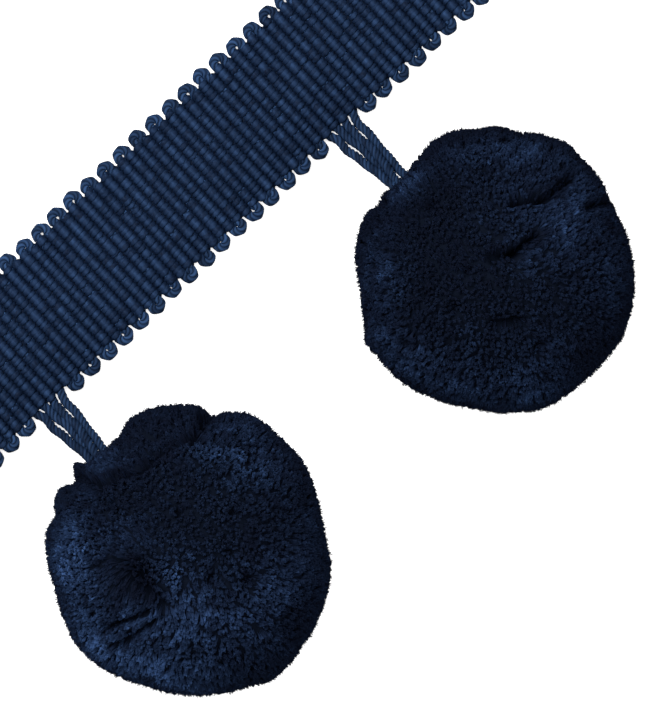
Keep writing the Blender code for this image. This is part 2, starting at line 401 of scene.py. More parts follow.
# %% Warp ends
WARPS = 52
WARP_PITCH = TAPE_WIDTH / WARPS
WARP_THICK = 0.29
WARP_NARROW, WARP_WIDE = 0.30, 0.98
WARP_RISE = (TAPE_THICK - WARP_THICK) / 2
WARP_STEPS = 4
WARP_SIDES = 6
FLOAT_UNEVEN = {"wide": 0.14, "high": 0.07, "shift": 0.12, "tone": 0.24}
FLOAT_TONE = 0.56
FLOAT_LIMITS = (0.1, 1.2)
FLOAT_SHADE_FALL = 8.0
FLOAT_SLANT = 0.06
WARP_STRETCH = 1.5
WARP_SHIFT = 7.3
warp_dice = np.random.default_rng(21)


def warp_points(first):
    """Every second end from the first. In rib k, with an angle from 0 to pi across the rib,
    x = (k + (1 - cos angle) / 2) pitch and z = +-rise sin angle, + where end + rib is even. All
    floats slant a little, by y = -+slant cos angle. The section is an ellipse, narrow + (wide -
    narrow) sin angle across and WARP_THICK through, and the tone is a power of sin angle: painted
    shade that darkens the end where it dips between the ribs. On the map a rib is WARP_STRETCH
    pitches long, as the thread is bowed, and the map of each end starts WARP_SHIFT further on
    than the last one's, so that no two look alike."""
    ends = np.arange(first, WARPS, 2)
    steps = np.arange(RIBS * WARP_STEPS + 1)
    rib = steps // WARP_STEPS
    angle = np.pi * (steps % WARP_STEPS) / WARP_STEPS
    over = np.where((ends[:, None] + rib) % 2 == 0, 1.0, -1.0)
    bow = np.sin(angle)
    shape = (len(ends), RIBS + 1)
    shift = warp_dice.normal(0, FLOAT_UNEVEN["shift"], shape)[:, rib] * bow
    shift = shift - FLOAT_SLANT * over * np.cos(angle)
    rise = WARP_RISE - np.abs(warp_dice.normal(0, FLOAT_UNEVEN["high"], shape))[:, rib] * bow
    wide = WARP_WIDE + warp_dice.normal(0, FLOAT_UNEVEN["wide"], shape)[:, rib]
    tone = np.clip(warp_dice.normal(FLOAT_TONE, FLOAT_UNEVEN["tone"], shape), *FLOAT_LIMITS)
    # Painted shade: the tone falls to dark where the end dips between the ribs.
    tone = tone[:, rib] * bow**FLOAT_SHADE_FALL
    half_wide = (WARP_NARROW + (wide - WARP_NARROW) * bow) / 2
    centre = np.empty((len(ends), len(steps), 3))
    centre[..., 0] = TAPE_LEFT + RIB_PITCH * (rib + (1 - np.cos(angle)) / 2)
    centre[..., 1] = TAPE_MIDDLE_Y + (ends[:, None] - (WARPS - 1) / 2) * WARP_PITCH + shift
    centre[..., 2] = TAPE_MIDDLE_Z + over * rise * bow
    heading = np.zeros_like(centre)
    heading[..., 0] = RIB_PITCH / 2 * np.sin(angle)
    heading[..., 2] = over * WARP_RISE * np.cos(angle)
    heading = unit(heading)
    outward = np.stack((-heading[..., 2], heading[..., 1], heading[..., 0]), axis=-1)
    turn = 2 * np.pi * np.arange(WARP_SIDES) / WARP_SIDES
    points = centre[:, :, None, :] + WARP_THICK / 2 * np.sin(turn)[:, None] * outward[:, :, None, :]
    points[..., 1] += half_wide[..., None] * np.cos(turn)
    lengths = np.broadcast_to(steps * RIB_PITCH * WARP_STRETCH / WARP_STEPS, centre.shape[:2])
    return points, lengths + WARP_SHIFT * ends[:, None], tone[..., None]


for name, first in (("warp_first", 0), ("warp_second", 1)):
    points, lengths, tone = warp_points(first)
    dress(add_tubes(name, points, lengths, tone, warp_finish), "tape", "heading")

# %% [markdown]
# ## The edge loops
#
# At the end of each pass the cord turns back into the next rib and leaves a small round loop,
# so the loops of one edge stand half a step from those of the other. Each loop is a ring that is
# nearly closed: a leg out of one rib, three quarters of a circle, and a leg into the next rib.
# The legs touch where they leave the tape, and a hole is left in the ring only where it was not
# pulled tight. The cord has four soft plies that wind round each other. A ply's middle runs on a
# helix round the cord's middle, and the sections of all plies turn with it. Inside the tape,
# where it can't be seen, the cord runs straight with few rings, as far as the tape's middle line.

# %% Plied cord
PLIES = 4
LAY = 3.2
PLY_SIDES = 7
PLY_EVEN = 0.25
GROOVE = 4.0
PLY_SHARE, HELIX_SHARE = 0.29, 0.21
PLY_SHIFT = 11.1
cord_dice = np.random.default_rng(5)


def plied(paths, twist, thick, sides=PLY_SIDES):
    """The plies of cords along paths, by ply, ring, side and axis. A ply's middle is the path
    plus the helix radius at the angle twist + a quarter of a turn for each ply, and its section
    is a circle. Both radii are shares of the cord's thickness. twist is by cord and ring."""
    _, beside, above = frames_along(paths)
    turn = np.concatenate([twist + 2 * np.pi * ply / PLIES for ply in range(PLIES)])
    paths, beside, above = (np.tile(item, (PLIES, 1, 1)) for item in (paths, beside, above))
    middle = paths + HELIX_SHARE * thick * turned(turn, beside, above)
    corner = turn[..., None] + 2 * np.pi * np.arange(sides) / sides
    section = turned(corner, beside[:, :, None, :], above[:, :, None, :])
    return middle[:, :, None, :] + PLY_SHARE * thick * section


def ply_tones(plies, lightest, sides=PLY_SIDES):
    """A tone for each ply and side. A ply is lightest on its outer side and painted darker towards
    the groove that it shares with its neighbours, as painted shade, by ((1 + cos angle) / 2) to
    the power GROOVE, where the angle is 0 outside."""
    # Painted shade: darker towards the grooves between the plies.
    painted_groove_shade = ((1 + np.cos(2 * np.pi * np.arange(sides) / sides)) / 2) ** GROOVE
    return lightest * cord_dice.uniform(PLY_EVEN, 1.0, (plies, 1, 1)) * painted_groove_shade


def lengths_of(paths):
    """How far along its path each point is."""
    steps = np.linalg.norm(np.diff(paths, axis=1), axis=-1)
    return np.concatenate((np.zeros((len(paths), 1)), np.cumsum(steps, axis=1)), axis=1)


def add_cords(name, paths, free, thick, lightest, sides=PLY_SIDES):
    """Plied cords along paths, which turn once in each LAY of their free length. The map of each
    ply starts PLY_SHIFT further on than the last one's."""
    first_turn = cord_dice.uniform(0, 2 * np.pi, (len(paths), 1))
    points = plied(paths, first_turn + 2 * np.pi * free / LAY, thick, sides)
    lengths = np.tile(lengths_of(paths), (PLIES, 1)) + PLY_SHIFT * np.arange(len(points))[:, None]
    return add_tubes(name, points, lengths, ply_tones(len(points), lightest, sides), cord_finish)


print(f"{PLIES} plies turn once in {LAY} mm of cord")

# %% Paths of the loops
TAPE_EDGE = TAPE_WIDTH / 2
LOOP_CORD = 1.46
LOOP_REACH = 1.96
LOOP_WAVE = {"size": 0.1, "turn": 2.4}
LOOP_UNEVEN = {"reach": 0.04, "sway": 0.12, "droop": 0.08}
LOOP_BENDS = (0.62, 0.86)
LOOP_NECK = math.radians(42)
LEG_IN_TAPE = (0.1, TAPE_EDGE - 1.2, TAPE_EDGE - 0.3)
LEG_APART = (RIB_PITCH, RIB_PITCH, 1.3)
ARC_STEPS = 20
CUT_END = 0.78


def rib_x(count):
    """The place along the tape of a count of ribs from its left end."""
    return TAPE_LEFT + count * RIB_PITCH


def hairpins(counts, side):
    """Paths of loops at counts of ribs. Out from the tape's middle line a leg lies at half a rib
    to the left and is drawn in at the edge. Then x = -bend cos angle and out = reach - half a
    cord - bend + bend sin angle, with an angle from -neck to pi + neck, and the other leg goes
    back half a rib to the right."""
    leg = np.broadcast_to(np.array(LEG_IN_TAPE), (len(counts), len(LEG_IN_TAPE)))
    angle = np.linspace(-LOOP_NECK, np.pi + LOOP_NECK, ARC_STEPS + 1)
    bend = cord_dice.uniform(*LOOP_BENDS, len(counts))[:, None]
    wave = LOOP_WAVE["size"] * np.sin(LOOP_WAVE["turn"] * counts)
    uneven = wave + cord_dice.normal(0, LOOP_UNEVEN["reach"], len(counts))
    furthest = TAPE_EDGE + LOOP_REACH + uneven[:, None] - LOOP_CORD / 2
    out = np.concatenate((leg, furthest - bend + bend * np.sin(angle), leg[:, ::-1]), axis=1)
    half = np.broadcast_to(np.array(LEG_APART) / 2, leg.shape)
    across = np.concatenate((-half, -bend * np.cos(angle), half[:, ::-1]), axis=1)
    free = np.clip((out - TAPE_EDGE) / LOOP_REACH, 0, 1)
    sway = cord_dice.normal(0, LOOP_UNEVEN["sway"], len(counts))[:, None]
    droop = cord_dice.normal(0, LOOP_UNEVEN["droop"], len(counts))[:, None]
    paths = np.empty((*out.shape, 3))
    paths[..., 0] = rib_x(counts)[:, None] + across + sway * free
    paths[..., 1] = TAPE_MIDDLE_Y + side * out
    paths[..., 2] = TAPE_MIDDLE_Z + droop * free
    return paths


def cut_ends():
    """The cord's two cut ends at the upper edge: straight out of the first and the last rib,
    with as many rings as a loop has."""
    rings = np.linspace(0.1, 1.0, 2 * len(LEG_IN_TAPE) + ARC_STEPS + 1)
    paths = np.empty((2, len(rings), 3))
    paths[..., 0] = np.array((rib_x(0.5), rib_x(RIBS - 0.5)))[:, None]
    paths[..., 1] = TAPE_MIDDLE_Y + rings * (TAPE_EDGE + CUT_END)
    paths[..., 2] = TAPE_MIDDLE_Z
    return paths


print(f"a loop reaches {LOOP_REACH} mm out of a tape {TAPE_WIDTH} mm wide")

# %% Loops of both edges
BALLS = (
    {"name": "left", "rib": 18, "x": -28.3, "y": -13.6, "seed": 3},
    {"name": "right", "rib": 54, "x": 29.6, "y": -14.4, "seed": 8},
)
LONG_LOOPS = [ball["rib"] + side for ball in BALLS for side in (-1, 1)]
LOOP_TONE = 1.25
TWIST_INSET = 1.0
upper_loops = np.arange(2, RIBS, 2)
lower_loops = np.array([count for count in range(1, RIBS, 2) if count not in LONG_LOOPS])
loop_paths = np.concatenate((hairpins(upper_loops, 1), hairpins(lower_loops, -1), cut_ends()))
out_of_tape = np.abs(loop_paths[..., 1] - TAPE_MIDDLE_Y) > TAPE_EDGE - TWIST_INSET
free_length = np.cumsum(np.diff(lengths_of(loop_paths), axis=1, prepend=0) * out_of_tape, axis=1)
loops = add_cords("edge_loops", loop_paths, free_length, LOOP_CORD, LOOP_TONE)
dress(loops, "tape", "heading")

# %% [markdown]
# ## The hangers
#
# A ball hangs on two of the loops, made long, so four legs of the same cord leave the tape from
# four neighbouring ribs. They come together on their way: the inner two touch soon, slits stay
# open here and there beside the outer two, then every second leg rides up on its neighbours, and
# in the ball all four are one bundle, two by two. A short table says how far apart neighbours lie
# at some shares of the way, and how far every second leg rises there as the others sink. The
# middle line is a cubic curve that leaves the tape level and enters the ball towards its centre.

# %% Table of the legs
LEG_WAY = {
    "share": (0, 0.03, 0.07, 0.10, 0.13, 0.17, 0.21, 0.26, 0.31, 0.36, 0.42, 0.52, 0.58, 0.65, 1),
    "first": (1.57, 1.56, 1.36, 1.24, 1.24, 1.24, 1.44, 1.5, 1.44, 1.12, 0.96, 0.6, 0.4, 0.5, 0),
    "middle": (1.57, 1.38, 1.14, 1.12, 1.12, 1.1, 1, 0.96, 0.92, 1, 0.94, 0.6, 0.42, 0.6, 1.2),
    "last": (1.57, 1.54, 1.48, 1.34, 1.26, 1.46, 1.48, 1.14, 0.94, 0.98, 0.95, 1.18, 1.36, 1, 0),
    "rise": (0, 0, 0, 0, 0, 0, 0, 0.1, 0.2, 0.3, 0.35, 0.4, 0.4, 0.5, 0.6),
}
print(f"the legs' table has {len(LEG_WAY['share'])} stops")

# %% Paths of the legs
BALL_RADIUS = 20.1
BALL_HEIGHT = 18.8
LEG_END = 11.0
LEG_STEP = 0.26
LEG_LEAD = 6
LEG_PULL = {"edge": 0.55, "ball": 0.9}
LEG_WAVE = {"size": 0.05, "length": 4.3, "apart": 0.37, "start": 0.125}
ROUNDED = 0.02


def ball_centre(ball):
    """The middle of a ball."""
    return np.array((ball["x"], ball["y"], BALL_HEIGHT))


def hanger_root(ball):
    """The place on the tape's edge where a ball's hanger leaves it."""
    return np.array((rib_x(ball["rib"]), TAPE_MIDDLE_Y - TAPE_EDGE, TAPE_MIDDLE_Z))


def hanger_axis(ball):
    """The direction from a ball's centre to its hanger's root."""
    return unit(hanger_root(ball) - ball_centre(ball))


def way(share, row):
    """A row of the table at any share of the way, with its corners rounded off."""
    near = np.linspace(-ROUNDED, ROUNDED, 9)
    return np.interp(share[:, None] + near, LEG_WAY["share"], LEG_WAY[row]).mean(axis=1)


def leg_paths(ball):
    """Middle line p = cubic of the edge, the ball and the two directions there, and each leg
    lies off it by the table's numbers, along the tape at first and across the line later. The
    first leg is the one nearest the tape's left end."""
    edge = hanger_root(ball)
    inner = ball_centre(ball) + LEG_END * hanger_axis(ball)
    span = np.linalg.norm(inner - edge)
    share = np.linspace(0, 1, int(span / LEG_STEP))
    level = np.array((0, -1.0, 0)) * span * LEG_PULL["edge"]
    dive = -hanger_axis(ball) * span * LEG_PULL["ball"]
    s = share[:, None]
    middle = (
        (2 * s**3 - 3 * s**2 + 1) * edge + (s**3 - 2 * s**2 + s) * level
        + (3 * s**2 - 2 * s**3) * inner + (s**3 - s**2) * dive
    )
    inside = np.linspace(TAPE_EDGE - LEG_IN_TAPE[0], LEG_STEP, LEG_LEAD)
    lead = np.tile(edge, (len(inside), 1))
    lead[:, 1] += inside
    middle = np.concatenate((lead, middle))
    share = np.concatenate((np.zeros(len(inside)), share))
    _, beside, above = frames_along(middle[None])
    length = lengths_of(middle[None])[0]
    gap_first, gap_middle, gap_last = (way(share, gap) for gap in ("first", "middle", "last"))
    outer = (gap_first + gap_middle + gap_last) / 2
    offs = (-outer, gap_first - outer, outer - gap_last, outer)
    paths = []
    for leg, (off, side) in enumerate(zip(offs, (1, -1, 1, -1))):
        phase = 2 * np.pi * (length / LEG_WAVE["length"] + leg * LEG_WAVE["apart"] + ball["seed"])
        wave = LEG_WAVE["size"] * np.sin(phase) * np.minimum(1, share / LEG_WAVE["start"])
        off = off + wave
        lift = side * way(share, "rise") + wave
        paths.append(middle + off[:, None] * beside[0] + lift[:, None] * above[0])
    return np.array(paths)


# %% Both hangers
HANGER_CORD = 1.36
HANGER_SIDES = 8
HANGER_TONE = 0.78
for ball in BALLS:
    paths = leg_paths(ball)
    free = np.maximum(0, lengths_of(paths) - TAPE_EDGE + TWIST_INSET)
    name = f"hanger_cords_{ball['name']}"
    cords = add_cords(name, paths, free, HANGER_CORD, HANGER_TONE, HANGER_SIDES)
    dress(cords, "cord", f"hanger_{ball['name']}")

# %% [markdown]
# ## The balls
#
# A ball is hundreds of turns of yarn, tied in the middle, cut and trimmed round, so every yarn
# stands out from the centre. They are packed so tight that only their last millimetre shows, a
# short velvet. A cut yarn opens at its end like a small brush, so seen from above the ball is
# grainy, and only where the yarn was combed over does its side show as a lit streak. A smooth
# ball with a hairy texture has neither. So the yarn ends are made, on a dark body that stands for
# what lies deeper; its darkness is painted shade, and lit streaks and rims get painted light in
# the yarn's tone. First comes the trimmed outline, which shears never leave quite round: a table
# of how far the ball reaches in plan, and the small cuts and tufts on it.

# %% Outline in plan
BEARING_STEP = 30
OUTLINE = {
    "left": (20.4, 20.5, 20.8, 20.0, 20.3, 20.0, 20.5, 20.1, 20.4, 21.0, 20.2, 19.4),
    "right": (19.8, 20.2, 20.2, 19.3, 19.6, 19.6, 20.3, 19.8, 20.1, 20.0, 20.0, 19.4),
}
SHEARED = {
    "left": (
        {"seen": 7, "wide": 10, "out": -0.3},
        {"seen": 64, "wide": 8, "out": 0.6},
        {"seen": 80, "wide": 4, "out": -1.0},
        {"seen": 122, "wide": 6, "out": -1.3},
        {"seen": 142, "wide": 2, "out": 0.8},
        {"seen": 149, "wide": 3, "out": -1.3},
        {"seen": 165, "wide": 4, "out": -0.9},
        {"seen": 197, "wide": 14, "out": -0.5},
        {"seen": 255, "wide": 24, "out": -0.3},
        {"seen": 303, "wide": 6, "out": 0.5},
        {"seen": 321, "wide": 4, "out": -0.3},
    ),
    "right": (
        {"seen": 29, "wide": 10, "out": -0.6},
        {"seen": 60, "wide": 6, "out": 0.6},
        {"seen": 80, "wide": 6, "out": -0.6},
        {"seen": 96, "wide": 5, "out": -0.3},
        {"seen": 123, "wide": 5, "out": -0.5},
        {"seen": 150, "wide": 4, "out": -0.9},
        {"seen": 188, "wide": 12, "out": -0.6},
        {"seen": 210, "wide": 5, "out": 0.7},
        {"seen": 262, "wide": 9, "out": -0.3},
        {"seen": 290, "wide": 12, "out": 0.4},
        {"seen": 332, "wide": 9, "out": 0.3},
    ),
}
print("cuts and tufts:", {name: len(rows) for name, rows in SHEARED.items()})

# %% Reach of a ball
RIM = 0.995


def outline_reach(ball, directions):
    """How far the ball reaches in each direction: the table in plan, by bearing, with cosines
    between its stops, and the mean radius towards the top and the bottom. To the plan come the
    cuts and tufts that the shears left, each one out times a bell of the angle from its place."""
    bearing = np.degrees(np.arctan2(directions[:, 1], directions[:, 0]))
    place = bearing % 360 / BEARING_STEP
    share = (1 - np.cos(np.pi * (place - np.floor(place)))) / 2
    values = np.array(OUTLINE[ball["name"]])
    stop = place.astype(int) % len(values)
    plan = values[stop] * (1 - share) + values[(stop + 1) % len(values)] * share
    for cut in SHEARED[ball["name"]]:
        apart = (bearing + math.degrees(TURN) - cut["seen"] + 180) % 360 - 180
        plan += cut["out"] * np.exp(-((apart / cut["wide"]) ** 2))
    level = (directions[:, :2] ** 2).sum(axis=1)
    return BALL_RADIUS + (plan - BALL_RADIUS) * level


def seen_at(right, up):
    """The direction from a ball's centre to the point of it that the picture shows so many
    millimetres to the right of the centre and above it. What lies further out is drawn in to
    the RIM, a share of the radius."""
    flat = (right * PICTURE_RIGHT + up * PICTURE_UP) / BALL_RADIUS
    flat = flat / max(1.0, np.linalg.norm(flat) / RIM)
    return flat + np.array((0, 0, math.sqrt(1 - flat @ flat)))


# %% [markdown]
# ## The balls: what the hand did, and painted light
#
# No ball is combed evenly. The yarn parts along lines, leaves pits, turns in a whorl, and lies
# over to one side, where its length shows and catches the light. Painted on, such marks would
# look flat from any other side, so each is made in the yarn: a bell of the distance from its
# place that leans the yarn or lowers its ends. The lighter places are painted light, though: the
# same bells lighten the yarn's tone where combed yarn and the balls' rims catch the light. The
# places are given as the picture shows them, in millimetres to the right of a ball's centre and
# above it.

# %% Partings, pits and whorls
PARTINGS = {
    "right": (
        {"from": (-0.5, 1.6), "to": (2.7, 2.4), "wide": 0.6, "push": 0.7, "deep": 1.9},
        {"from": (2.7, 2.4), "to": (5.9, 5.0), "wide": 0.6, "push": 0.7, "deep": 1.7},
        {"from": (2.7, 9.5), "to": (7.0, 10.2), "wide": 0.6, "push": 0.8, "deep": 2.0},
        {"from": (7.0, 10.2), "to": (11.2, 13.2), "wide": 0.6, "push": 0.7, "deep": 1.5},
        {"from": (17.2, 10.2), "to": (13.5, 9.0), "wide": 0.6, "push": 0.6, "deep": 1.2},
        {"from": (-0.2, -7.6), "to": (3.8, -7.3), "wide": 0.6, "push": 0.6, "deep": 1.7},
    ),
    "left": (
        {"from": (2.8, 20.0), "to": (0.8, 16.4), "wide": 0.9, "push": 0.9, "deep": 1.3},
        {"from": (0.8, 16.4), "to": (-6.2, 12.4), "wide": 0.8, "push": 0.7, "deep": 1.2},
        {"from": (-6.2, 12.4), "to": (-12.8, 9.6), "wide": 0.8, "push": 0.8, "deep": 1.9},
        {"from": (-16.5, 11.5), "to": (-12.8, 9.6), "wide": 0.8, "push": 0.8, "deep": 1.5},
        {"from": (-12.2, -10.8), "to": (-5.8, -8.4), "wide": 0.5, "push": 0.6, "deep": 1.3},
        {"from": (-10.6, -13.2), "to": (-4.6, -9.8), "wide": 0.5, "push": 0.6, "deep": 1.2},
        {"from": (-7.2, -4.8), "to": (-3.8, -7.2), "wide": 1.0, "push": 0.5, "deep": 2.0},
    ),
}
PITS = {
    "right": (
        {"at": (-1.3, 14.1), "wide": 0.9, "deep": 1.8},
        {"at": (-9.6, 9.5), "wide": 1.0, "deep": 1.7},
        {"at": (-4.0, -0.1), "wide": 0.8, "deep": 1.6},
        {"at": (6.5, -10.8), "wide": 0.9, "deep": 1.9},
        {"at": (-10.1, -3.6), "wide": 0.7, "deep": 1.3},
        {"at": (-6.1, -5.7), "wide": 0.9, "deep": 1.7},
        {"at": (-12.5, -10.3), "wide": 0.7, "deep": 1.3},
    ),
    "left": (
        {"at": (-1.6, 6.1), "wide": 0.7, "deep": 1.4},
        {"at": (6.2, 5.8), "wide": 0.7, "deep": 1.3},
        {"at": (6.0, 0.3), "wide": 0.7, "deep": 1.3},
        {"at": (8.7, -3.9), "wide": 1.0, "deep": 1.4},
        {"at": (3.2, -3.6), "wide": 0.9, "deep": 1.4},
        {"at": (-8.3, -3.0), "wide": 2.8, "deep": 2.4},
    ),
}
WHORLS = {
    "left": {"at": (-8.3, -3.0), "wide": 5.5, "turn": 1.3, "open": 0.9},
    "right": {"at": (0.6, 1.8), "wide": 4.0, "turn": -0.3, "open": 0.2},
}
print("partings and pits:", {name: (len(PARTINGS[name]), len(PITS[name])) for name in WHORLS})

# %% Combed places and painted light
COMBED_AND_PAINTED_LIGHT = {
    "right": (
        {"at": (-12.5, 12.5), "wide": 3.0, "right": -0.4, "up": 0.4, "light": 0.30},
        {"at": (4.0, 17.0), "wide": 4.5, "right": 0.2, "up": 0.4, "light": 0.28},
        {"at": (-4.0, 16.5), "wide": 4.0, "right": -0.1, "up": 0.3, "light": 0.14},
        {"at": (13.0, 12.0), "wide": 4.0, "right": 0.4, "up": 0.4, "light": 0.18},
        {"at": (10.0, 8.0), "wide": 4.5, "right": 1.0, "up": 0.4, "light": 0.18},
        {"at": (8.0, 3.0), "wide": 6.0, "right": 0.7, "up": 0.2, "light": 0.09},
        {"at": (3.5, 1.0), "wide": 2.5, "right": 0.6, "up": 0.1, "light": 0.07},
        {"at": (3.0, 10.0), "wide": 5.5, "right": 0.2, "up": 0.3, "light": 0.13},
        {"at": (-17.0, -1.0), "wide": 5.5, "right": -0.4, "up": 0.0, "light": 0.21},
        {"at": (-13.0, -12.0), "wide": 5.0, "right": -0.2, "up": -0.2, "light": 0.29},
        {"at": (-2.0, -12.0), "wide": 6.0, "right": 0.0, "up": -0.2, "light": 0.06},
        {"at": (8.0, -10.0), "wide": 4.5, "right": 0.2, "up": -0.2, "light": 0.09},
        {"at": (-5.0, -17.0), "wide": 5.0, "right": 0.0, "up": -0.4, "light": 0.19},
        {"at": (5.0, -17.0), "wide": 5.0, "right": 0.0, "up": -0.4, "light": 0.29},
        {"at": (17.0, 0.0), "wide": 6.5, "right": 0.3, "up": 0.0, "light": 0.10},
    ),
    "left": (
        {"at": (-17.0, -1.5), "wide": 5.5, "right": -0.5, "up": 0.0, "light": 0.75},
        {"at": (-13.0, -12.5), "wide": 4.5, "right": -0.3, "up": -0.3, "light": 0.75},
        {"at": (-4.0, -17.0), "wide": 6.5, "right": -0.1, "up": -0.7, "light": 0.56},
        {"at": (-0.5, -9.0), "wide": 5.0, "right": 0.2, "up": -0.9, "light": 0.33},
        {"at": (-6.5, -9.3), "wide": 3.0, "right": -1.1, "up": -0.3, "light": 0.30},
        {"at": (-9.0, 1.5), "wide": 4.0, "right": 0.0, "up": 0.3, "light": 0.14},
        {"at": (8.0, -9.0), "wide": 6.5, "right": 0.4, "up": -0.3, "light": 0.22},
        {"at": (12.5, -4.0), "wide": 3.0, "right": 0.3, "up": 0.0, "light": 0.13},
        {"at": (17.0, 0.0), "wide": 6.0, "right": 0.3, "up": 0.0, "light": 0.11},
        {"at": (-1.5, -3.5), "wide": 3.5, "right": 0.2, "up": 0.3, "light": 0.22},
        {"at": (-13.0, 12.0), "wide": 3.5, "right": -0.3, "up": 0.3, "light": 0.22},
        {"at": (7.0, 14.5), "wide": 6.0, "right": 0.3, "up": 0.4, "light": 0.30},
    ),
}
print("combed places:", {name: len(rows) for name, rows in COMBED_AND_PAINTED_LIGHT.items()})

# %% Lean, dent and light
PUSH_REACH = 2
PARTING_SOFT, WHORL_SOFT, WHORL_STILL = 0.15, 0.3, 1.0


def off_arc(directions, first, last):
    """How far each direction lies off the arc between two others, in millimetres on the ball:
    the vector away from the arc and its length."""
    share = np.clip((directions - first) @ (last - first) / ((last - first) @ (last - first)), 0, 1)
    away = (directions - unit(first + share[:, None] * (last - first))) * BALL_RADIUS
    return away, np.linalg.norm(away, axis=1, keepdims=True)


def hand_and_painted_light_of(ball, directions):
    """Lean and dent at each direction, in millimetres, and painted light: how much lighter the
    yarn's tone is made. A parting pushes yarn away from an arc by push times a bell of the
    distance, a pit is a bell deep, a whorl turns yarn round a point and away from it, and a
    combed place leans it one way and paints its tone lighter, for the lit side that combed yarn
    shows and the ball's lighter rims. The soft lengths keep a lean from jumping where it turns
    round."""
    lean = np.zeros_like(directions)
    dent = np.zeros(len(directions))
    light = np.zeros(len(directions))
    for part in PARTINGS[ball["name"]]:
        away, apart = off_arc(directions, seen_at(*part["from"]), seen_at(*part["to"]))
        bell = np.exp(-((apart / (PUSH_REACH * part["wide"])) ** 2))
        lean += part["push"] * bell * away / (apart + PARTING_SOFT)
        dent += part["deep"] * np.exp(-((apart[:, 0] / part["wide"]) ** 2))
    for pit in PITS[ball["name"]]:
        apart = np.linalg.norm(directions - seen_at(*pit["at"]), axis=1) * BALL_RADIUS
        dent += pit["deep"] * np.exp(-((apart / pit["wide"]) ** 2))
    whorl = WHORLS[ball["name"]]
    middle = seen_at(*whorl["at"])
    away = (directions - middle) * BALL_RADIUS
    apart = np.linalg.norm(away, axis=1, keepdims=True)
    bell = np.exp(-((apart / whorl["wide"]) ** 2)) * apart / (apart + WHORL_STILL)
    swirl = whorl["open"] * away + whorl["turn"] * np.cross(middle, away)
    lean += bell * swirl / (apart + WHORL_SOFT)
    for comb in COMBED_AND_PAINTED_LIGHT[ball["name"]]:
        apart = np.linalg.norm(directions - seen_at(*comb["at"]), axis=1) * BALL_RADIUS
        bell = np.exp(-((apart / comb["wide"]) ** 2))
        lean += (comb["right"] * PICTURE_RIGHT + comb["up"] * PICTURE_UP) * bell[:, None]
        # Painted light: the yarn's tone is made lighter where combed yarn and the rims would catch light.
        light += comb["light"] * bell
    return lean, dent, light


# %% [markdown]
# ## The balls: their yarn ends
#
# Each yarn end is a few short fibres that share a foot, pointed below and widest where they are
# cut. The first fibre of each yarn is a wisp, thin and a little longer, and the wisps make the
# fuzz round the ball. The yarns start evenly spread, by the golden angle. Then they cling
# together in locks, lean as the hand left them and part round a notch for the hanger, and they
# end at the outline, or at the floor, on which the ball rests flat.

# %% Even spread
YARNS = 15400


def golden_points(count):
    """Directions spread evenly: each one turned by the golden angle from the last, at heights
    that fall in even steps."""
    index = np.arange(count) + 0.5
    height = 1 - 2 * index / count
    angle = np.pi * (3 - math.sqrt(5)) * index
    flat = np.sqrt(1 - height**2)
    return np.stack((flat * np.cos(angle), flat * np.sin(angle), height), axis=-1)


def level_with(directions, vectors):
    """Vectors without what they have along the directions, so that they lie in the surface."""
    return vectors - (vectors * directions).sum(-1, keepdims=True) * directions


def nearest_lock(directions, middles):
    """Which lock each yarn belongs to: the one whose middle is nearest."""
    return np.argmax(directions.astype(np.float32) @ middles.T.astype(np.float32), axis=1)


print(f"{YARNS} yarns a ball, one every {math.sqrt(4 * math.pi / YARNS) * BALL_RADIUS:.2f} mm")

# %% Notch and floor
NOTCH = {"wide": 2.3, "deep": 2.6, "bore": 1.9, "rise": 0.12, "push": 0.7, "soft": 0.05}
FLOOR_GAP = 0.05


def notch_of(ball, directions):
    """Lean and dent round the hanger. The notch runs from the hanger's axis up past the ball's
    widest level, so that the legs show from above, and the yarn parts round it."""
    axis = hanger_axis(ball)
    top = unit(np.array((axis[0], axis[1], NOTCH["rise"])))
    away, apart = off_arc(directions, axis, top)
    bell = np.exp(-((apart / NOTCH["wide"]) ** 2))
    push = np.maximum(0, NOTCH["bore"] - apart) + NOTCH["push"] * bell
    return push * away / (apart + NOTCH["soft"]), NOTCH["deep"] * bell[:, 0]


def above_floor(reach, directions):
    """The reach in each direction, but no further than the floor that the ball rests on."""
    return np.minimum(reach, (BALL_HEIGHT - FLOOR_GAP) / np.maximum(-directions[:, 2], 1e-6))


# %% Roots and tips
FIBRES = 5
PILE = 1.1
WISP = {"wide": 0.3, "proud": 0.32}
FOOT_SPREAD = 0.16
YARN_LEAN, FIBRE_LEAN = 0.22, 0.12
LEAN_LOSS = 0.2
PROUD, SHORT = 0.08, 0.10
START_UNEVEN, TIP_UNEVEN, SHORTFALL = 0.3, 0.06, 0.05
LOCK_KINDS = (
    {"count": 4000, "pull": 0.36, "tone": 0.24, "low": 0.06},
    {"count": 700, "pull": 0.06, "tone": 0.22, "low": 0.12},
)
DRIFTS = ({"waves": 7, "turns": 5.0, "size": 0.10}, {"waves": 9, "turns": 16.0, "size": 0.06})
YARN_TONE = {"left": 0.046, "right": 0.018}
YARN_EVEN, FIBRE_EVEN = 14.0, 24.0
DARKEST_LOCK = 0.2
DENT_SHADE = 0.9


def is_wisp(count):
    """Which of so many fibres are wisps: the first of each yarn, thin and a little longer."""
    return np.arange(count) % FIBRES == 0


